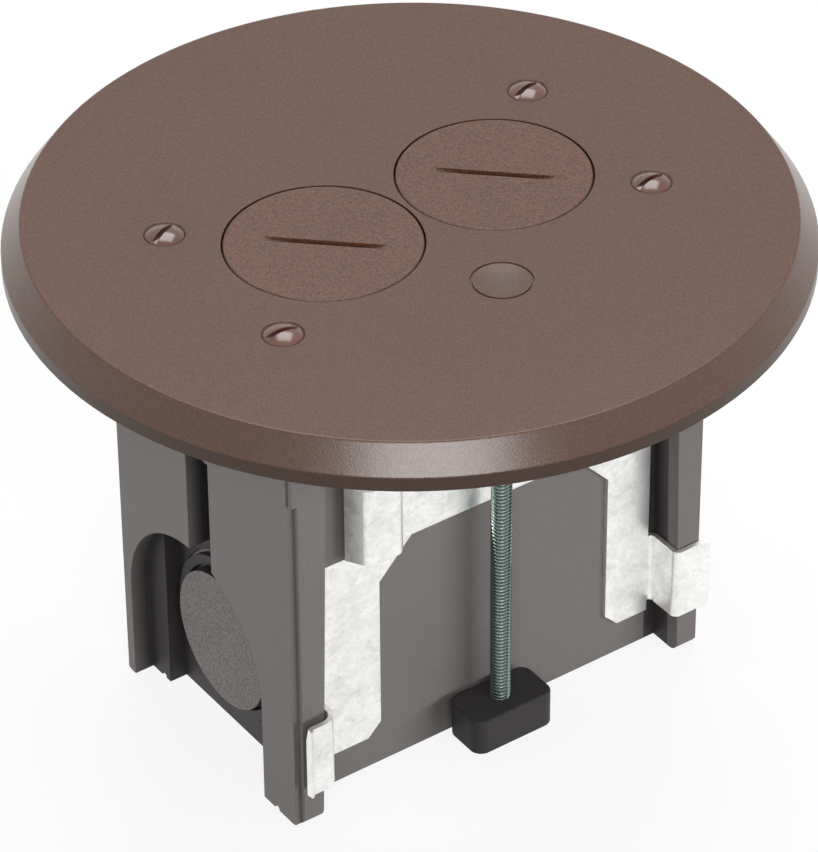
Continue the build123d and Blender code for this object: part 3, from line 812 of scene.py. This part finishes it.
@dataclass
class ThreadedScrew:
    """Machine thread as one helical skin."""

    crest: float = 2.06 * MM
    root: float = 1.62 * MM
    pitch: float = 0.79375 * MM
    crest_flat: float = 0.08
    root_flat: float = 0.10
    run_in: float = 1.5
    seam: float = 0.002 * MM
    steps: int = 22

    def one_turn(self, start: float) -> bpy.types.Mesh:
        """Spins the thread's profile once round.

        Args:
            start: height at which the turn starts.

        Returns:
            The turn's mesh.
        """
        turn = bmesh.new()
        crest_half = self.crest_flat * self.pitch
        root_half = self.root_flat * self.pitch
        heights = (0.0, root_half, 0.5 * self.pitch - crest_half, 0.5 * self.pitch + crest_half,
                   self.pitch - root_half, self.pitch)
        radii = (self.root, self.root, self.crest, self.crest, self.root, self.root)
        profile = [turn.verts.new((r, 0.0, start + z)) for r, z in zip(radii, heights)]
        edges = [turn.edges.new(pair) for pair in zip(profile, profile[1:])]
        bmesh.ops.spin(turn, geom=profile + edges, cent=(0, 0, 0), axis=(0, 0, 1), angle=math.tau,
                       dvec=(0, 0, self.pitch / self.steps), steps=self.steps, use_merge=False)
        mesh = bpy.data.meshes.new("one_turn")
        turn.to_mesh(mesh)
        turn.free()
        return mesh

    def shank(self, low: float, high: float) -> bmesh.types.BMesh:
        """Stacks turns between two heights and closes both ends.

        Args:
            low: height of the tip.
            high: height under the head.

        Returns:
            A closed bmesh about Z.
        """
        start = low - self.run_in * self.pitch
        mesh = self.one_turn(start)
        work = bmesh.new()
        for _ in range(math.ceil((high - start) / self.pitch) + 1):
            work.from_mesh(mesh)
            mesh.transform(Matrix.Translation((0, 0, self.pitch)))
        bpy.data.meshes.remove(mesh)
        bmesh.ops.remove_doubles(work, verts=work.verts, dist=self.seam)
        for height, way in ((low, -1), (high, 1)):
            cut = bmesh.ops.bisect_plane(work, geom=work.verts[:] + work.edges[:] + work.faces[:],
                                         plane_co=(0, 0, height), plane_no=(0, 0, way), clear_outer=True)
            rim = [g for g in cut["geom_cut"] if isinstance(g, bmesh.types.BMEdge)]
            bmesh.ops.edgeloop_fill(work, edges=rim)
        bmesh.ops.recalc_face_normals(work, faces=work.faces)
        return work


@dataclass
class ClampScrew:
    """Long screw through the bracket lip, with a slotted pan head."""

    side: Side
    slot_width: float = 1.2 * MM
    slot_depth: float = 1.3 * MM
    into_head: float = 0.2 * MM
    edge_break: float = 0.1 * MM
    shoulder_share: float = 0.5
    crown_share: float = 0.48
    crown_inset: float = 0.98
    crown_steps: int = 8
    round_steps: int = 48

    def build(self, material: bpy.types.Material) -> bpy.types.Object:
        """Builds the screw in place of its plain CAD shaft.

        Args:
            material: the plated finish.

        Returns:
            The new piece.
        """
        name = f"clamp_screw_{self.side.name.lower()}"
        low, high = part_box(name)
        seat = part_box(f"bracket_{self.side.name.lower()}")[1].z
        radius = (high.x - low.x) / 2
        height = high.z - seat
        shank = ThreadedScrew().shank(low.z, seat + self.into_head)
        shoulder = seat + self.shoulder_share * height
        crown = arc_profile(radius * self.crown_inset, self.crown_share * height, shoulder, self.crown_steps)
        head = lathe([(0, seat), (radius, seat), (radius, shoulder - self.edge_break), *crown], self.round_steps)
        head = slotted(head, self.slot_width, self.slot_depth, high.z, 2 * radius)
        whole = join([shank, head])
        bmesh.ops.translate(whole, vec=(0, (low.y + high.y) / 2, 0), verts=whole.verts)
        piece = into_object(whole, f"threaded_{name}", material)
        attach(piece, name)
        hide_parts(name)
        LOG.info("built %s", piece.name)
        return piece


@dataclass
class CoverScrews:
    """Four oval-head screws in the cover."""

    head_radius: float = 3.7 * MM
    dome: float = 1.2 * MM
    rim_land: float = 0.08 * MM
    shank_radius: float = 1.75 * MM
    tip_share: float = 0.8
    tip_height: float = 0.5 * MM
    slot_width: float = 1.05 * MM
    slot_depth: float = 1.0 * MM
    dome_steps: int = 10
    round_steps: int = 56
    turns_deg: tuple[float, ...] = (22.0, -6.0, 12.0, 4.0)

    def one(self, tip: float, top: float) -> bmesh.types.BMesh:
        """Builds one slotted screw about Z.

        Args:
            tip: height of its tip.
            top: height of its crown.

        Returns:
            The screw's bmesh.
        """
        rim = top - self.dome
        neck = rim - (self.head_radius - self.shank_radius)
        outline = [(0, tip), (self.shank_radius * self.tip_share, tip), (self.shank_radius, tip + self.tip_height),
                   (self.shank_radius, neck), (self.head_radius, rim - self.rim_land),
                   *arc_profile(self.head_radius, self.dome, rim, self.dome_steps)]
        blank = lathe(outline, self.round_steps)
        return slotted(blank, self.slot_width, self.slot_depth, top, 2 * self.head_radius)

    def build(self, material: bpy.types.Material) -> bpy.types.Object:
        """Builds the group of screws.

        Args:
            material: the enamel finish.

        Returns:
            The new piece.
        """
        low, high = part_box("cover_screws")
        places = ((low.x, high.y), (low.x, low.y), (high.x, high.y), (high.x, low.y))
        screws = []
        for (x, y), turn in zip(places, self.turns_deg):
            screw = self.one(low.z, high.z)
            bmesh.ops.rotate(screw, cent=(0, 0, 0), matrix=Matrix.Rotation(math.radians(turn), 3, "Z"),
                             verts=screw.verts)
            inward = (math.copysign(self.head_radius, -x), math.copysign(self.head_radius, -y))
            bmesh.ops.translate(screw, vec=(x + inward[0], y + inward[1], 0), verts=screw.verts)
            screws.append(screw)
        piece = into_object(join(screws), "oval_cover_screws", material)
        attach(piece, "box")
        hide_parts("cover_screws")
        LOG.info("built %s", piece.name)
        return piece


# Sub-assemblies

class SubAssembly:
    """Pieces that belong together: CAD nodes with their finishes, and what is built new for them."""

    finishes: ClassVar[dict[str, Palette]] = {}

    def build(self, materials: Materials) -> None:
        """Paints the CAD nodes that are shown as they are.

        Args:
            materials: the material of each finish.
        """
        for name, entry in self.finishes.items():
            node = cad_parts[name]
            if not node.material_slots:
                node.data.materials.append(materials[entry])
            for slot in node.material_slots:
                slot.material = materials[entry]
            LOG.info("painted %s with %s", name, materials[entry].name)


class WiringBox(SubAssembly):
    """Moulded box with its two brackets, clamp feet and clamp screws."""

    finishes = {
        "box_body": Palette.BOX, "bracket_front": Palette.GALVANISED, "bracket_rear": Palette.GALVANISED,
        "clamp_foot_front": Palette.FOOT, "clamp_foot_rear": Palette.FOOT,
    }

    def build(self, materials: Materials) -> None:
        """Paints the box and builds its clamp screws.

        Args:
            materials: the material of each finish.
        """
        super().build(materials)
        for side in Side:
            ClampScrew(side).build(materials[Palette.ZINC])


class FloorCover(SubAssembly):
    """Round cover with its gasket, plugs, seals and screws."""

    finishes = {
        "cover_plate": Palette.COVER, "cover_gasket": Palette.GASKET,
        "plug_cap_left": Palette.PLUG, "plug_cap_right": Palette.PLUG,
        "plug_seal_left": Palette.SEAL, "plug_seal_right": Palette.SEAL,
    }

    def build(self, materials: Materials) -> None:
        """Paints the cover and builds its screws.

        Args:
            materials: the material of each finish.
        """
        super().build(materials)
        CoverScrews().build(materials[Palette.ENAMEL])


class Receptacle(SubAssembly):
    """Duplex receptacle on its strap, shown as the CAD has it."""

    finishes = {
        "receptacle_yoke": Palette.STRAP, "receptacle_face": Palette.FACE, "receptacle_body": Palette.DEVICE,
        "hot_contact": Palette.BRASS, "neutral_contact": Palette.BRASS, "ground_contact": Palette.BRASS,
        "hot_terminal_screws": Palette.BRASS, "neutral_terminal_screws": Palette.STRAP,
        "ground_screw": Palette.GREEN, "yoke_screws": Palette.STRAP, "receptacle_rivets": Palette.BRASS,
    }


# Camera, lights and stage

def direction(azimuth_deg: float, elevation_deg: float) -> Vector:
    """Points from the object to a place round it.

    Args:
        azimuth_deg: angle round Z, 0 in front and growing to the right.
        elevation_deg: angle over the horizon.

    Returns:
        A vector of length 1.
    """
    turn = math.radians(azimuth_deg)
    lift = math.radians(elevation_deg)
    return Vector((math.sin(turn) * math.cos(lift), -math.cos(turn) * math.cos(lift), math.sin(lift)))


@dataclass(frozen=True)
class Camera:
    """Camera that stands where the photographer's did."""

    azimuth_deg: float = -35.1
    elevation_deg: float = 36.73
    roll_deg: float = -0.45
    distance: float = 900.0 * MM
    focal_px: float = 4817.6
    aside: float = -0.18 * MM
    above: float = -34.145 * MM
    image_width: int = 818
    sensor: float = 36.0
    nearest: float = 0.05
    farthest: float = 20.0

    def build(self) -> bpy.types.Object:
        """Builds the camera and makes it the scene's own.

        Returns:
            The camera object.
        """
        turn = math.radians(self.azimuth_deg)
        roll = math.radians(self.roll_deg)
        back = direction(self.azimuth_deg, self.elevation_deg)
        right = Vector((math.cos(turn), math.sin(turn), 0))
        up = back.cross(right)
        right, up = (math.cos(roll) * right + math.sin(roll) * up, math.cos(roll) * up - math.sin(roll) * right)
        data = bpy.data.cameras.new("photo_camera")
        data.type = "PERSP"
        data.sensor_fit = "HORIZONTAL"
        data.sensor_width = self.sensor
        data.lens = self.focal_px * self.sensor / self.image_width
        data.clip_start = self.nearest
        data.clip_end = self.farthest
        camera = bpy.data.objects.new("photo_camera", data)
        place = Vector((0, 0, FLOOR_LEVEL)) + self.aside * right + self.above * up + self.distance * back
        turned = Matrix((right, up, back)).transposed().to_4x4()
        camera.matrix_world = Matrix.Translation(place) @ turned
        bpy.context.scene.collection.objects.link(camera)
        bpy.context.scene.camera = camera
        return camera


@dataclass(frozen=True)
class SoftBox:
    """One rectangular studio lamp, aimed at the middle of the object.

    A level of 1 shows a matt surface that faces the lamp in its own colour.
    """

    name: str
    azimuth_deg: float
    elevation_deg: float
    distance: float
    width: float
    height: float
    level: float
    in_gloss: bool = True
    aim_height: float = 60.0 * MM

    def build(self) -> bpy.types.Object:
        """Builds the lamp.

        Returns:
            The lamp object.
        """
        away = direction(self.azimuth_deg, self.elevation_deg)
        data = bpy.data.lights.new(self.name, "AREA")
        data.shape = "RECTANGLE"
        data.size = self.width
        data.size_y = self.height
        data.energy = self.level * (math.pi * self.distance) ** 2
        lamp = bpy.data.objects.new(self.name, data)
        lamp.visible_glossy = self.in_gloss
        lamp.location = Vector((0, 0, self.aim_height)) + self.distance * away
        lamp.rotation_euler = away.to_track_quat("Z", "Y").to_euler()
        bpy.context.scene.collection.objects.link(lamp)
        return lamp


@dataclass(frozen=True)
class Studio:
    """Pale floor, pale surroundings and soft lamps."""

    lamps: tuple[SoftBox, ...] = (
        SoftBox("key_lamp", -29.0, 35.0, distance=1.4, width=0.80, height=0.26, level=0.48),
        SoftBox("front_lamp", 28.0, 9.0, distance=1.6, width=1.2, height=0.36, level=0.74, in_gloss=False),
        SoftBox("left_lamp", -108.0, 9.0, distance=1.6, width=1.0, height=0.36, level=0.52, in_gloss=False),
        SoftBox("back_lamp", 148.0, 9.0, distance=1.7, width=1.2, height=0.36, level=0.60, in_gloss=False),
        SoftBox("top_lamp", 140.0, 68.0, distance=1.5, width=1.0, height=1.0, level=0.74),
    )
    floor_half: float = 1.2
    floor_tone: float = 0.22
    floor_roughness: float = 0.9
    seen_tone: float = 0.90
    seen_glow: float = 0.86
    ambient: float = 0.05

    def seen_rays(self, maker: TreeMaker) -> Socket:
        """Finds the rays that show a background: from the camera, from gloss and through glass.

        Args:
            maker: the tree being wired.

        Returns:
            A mask that is 1 for those rays.
        """
        path = maker.node("ShaderNodeLightPath")
        found = path.outputs["Is Camera Ray"]
        for name in ("Is Glossy Ray", "Is Transmission Ray"):
            found = maker.calc("MAXIMUM", found, path.outputs[name])
        return found

    def build_world(self) -> None:
        """Builds the pale surroundings."""
        world = bpy.data.worlds.new("pale_room")
        bpy.context.scene.world = world
        world.use_nodes = True
        maker = TreeMaker(world.node_tree)
        room = maker.tree.nodes["Background"]
        white = maker.node("ShaderNodeBackground")
        for background, strength in ((room, self.ambient), (white, 1.0)):
            background.inputs["Color"].default_value = grey(1.0)
            background.inputs["Strength"].default_value = strength
        shown = maker.mixed(self.seen_rays(maker), room.outputs[0], white.outputs[0])
        maker.link(shown, maker.tree.nodes["World Output"].inputs[0])

    def build_floor(self) -> None:
        """Builds the floor that the object stands on: it looks white and keeps the shadow."""
        work = bmesh.new()
        bmesh.ops.create_grid(work, x_segments=1, y_segments=1, size=self.floor_half)
        maker = MaterialMaker("pale_floor")
        maker.shader.inputs["Base Color"].default_value = grey(self.floor_tone)
        maker.shader.inputs["Roughness"].default_value = self.floor_roughness
        matt = maker.node("ShaderNodeBsdfDiffuse")
        matt.inputs["Color"].default_value = grey(self.seen_tone)
        glow = maker.node("ShaderNodeEmission")
        glow.inputs["Strength"].default_value = 1.0
        seen = maker.mixed(self.seen_glow, matt.outputs[0], glow.outputs[0])
        shown = maker.mixed(self.seen_rays(maker), maker.shader.outputs[0], seen)
        maker.link(shown, maker.tree.nodes["Material Output"].inputs["Surface"])
        plain = maker.material
        into_object(work, "studio_floor", plain)

    def build(self) -> None:
        """Builds floor, surroundings and lamps."""
        self.build_world()
        self.build_floor()
        for lamp in self.lamps:
            lamp.build()
        bpy.context.scene.view_settings.view_transform = "Standard"


def main() -> None:
    """Dresses the frame and sets the stage."""
    logging.basicConfig(level=logging.INFO, format="%(name)s: %(message)s")
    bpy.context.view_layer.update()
    materials = {entry: entry.value.material() for entry in Palette}
    for assembly in (WiringBox(), FloorCover(), Receptacle()):
        assembly.build(materials)
    Camera().build()
    Studio().build()


if __name__ == "__main__":
    main()
